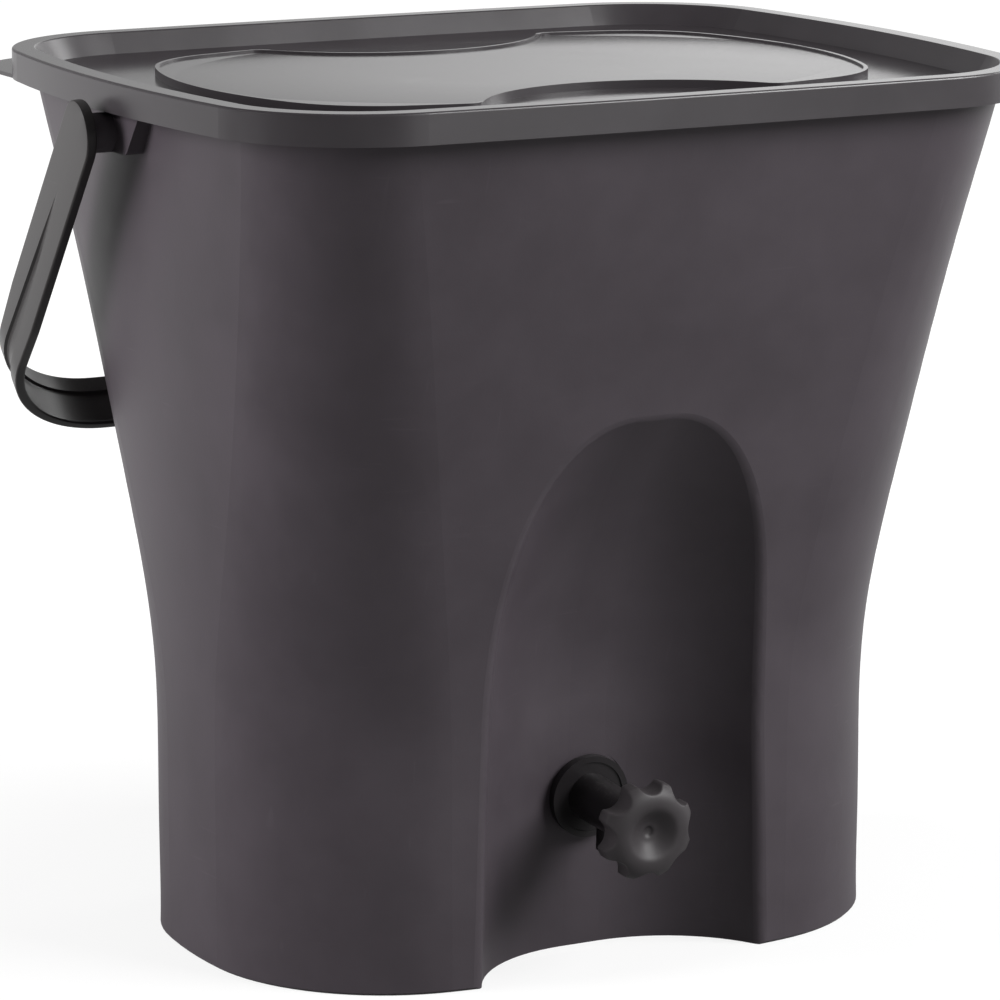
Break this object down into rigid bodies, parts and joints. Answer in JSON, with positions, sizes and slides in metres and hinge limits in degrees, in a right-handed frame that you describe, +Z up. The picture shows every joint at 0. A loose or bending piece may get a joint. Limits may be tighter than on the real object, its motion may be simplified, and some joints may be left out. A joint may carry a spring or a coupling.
{
  "type": "kitchen composter",
  "caption": "Flared kitchen compost bin with a lift-off sealed lid, a swinging carrying bail, a lift-out drain grate and a screw tap in a front niche.",
  "frame": {"origin": "on the ground under the middle of the bin's base", "axes": "+X along the long side of the lid and the bail's pivot, -Y towards the front with the tap, +Z up"},
  "size_m": [0.3422, 0.2835, 0.32],
  "materials": {
    "bin_plastic": "satin moulded polypropylene, charcoal",
    "lid_plastic": "semi-gloss moulded polypropylene, black",
    "bail_plastic": "semi-gloss moulded polypropylene, black",
    "tap_plastic": "glossy moulded plastic, black",
    "seal_rubber": "soft matte rubber, black"
  },
  "bodies": {
    "bin": {"bin_body": "bin_plastic", "tap_body": "tap_plastic", "tap_outer_washer": "seal_rubber", "tap_inner_washer": "seal_rubber", "tap_lock_nut": "tap_plastic"},
    "cover": {"lid": "lid_plastic", "lid_seal": "seal_rubber"},
    "bail": {"carry_handle": "bail_plastic"},
    "grate": {"drain_grate": "bin_plastic"},
    "valve": {"tap_valve_plug": "seal_rubber"},
    "knob": {"tap_knob": "tap_plastic", "tap_spindle": "tap_plastic", "tap_spindle_ring": "seal_rubber"}
  },
  "joints": [
    {"name": "lid_lift", "type": "slide", "parent": "bin", "child": "cover", "axis": [0, 0, 1], "range_m": [0, 0.1]},
    {"name": "bail_swing", "type": "hinge", "parent": "bin", "child": "bail", "pos_m": [0, 0, 0.301], "axis": [1, 0, 0], "range_deg": [0, 271]},
    {"name": "grate_lift", "type": "slide", "parent": "bin", "child": "grate", "axis": [0, 0, 1], "range_m": [0, 0.18]},
    {"name": "valve_travel", "type": "slide", "parent": "bin", "child": "valve", "axis": [0, -0.9981, -0.061], "range_m": [0, 0.005]},
    {"name": "knob_turn", "type": "hinge", "parent": "valve", "child": "knob", "pos_m": [0, -0.057, 0.0575], "axis": [0, -0.9981, -0.061], "range_deg": [0, 360]}
  ],
  "couplings": [
    {"joint": "valve_travel", "follows": "knob_turn", "m_per_rad": 0.000795}
  ]
}
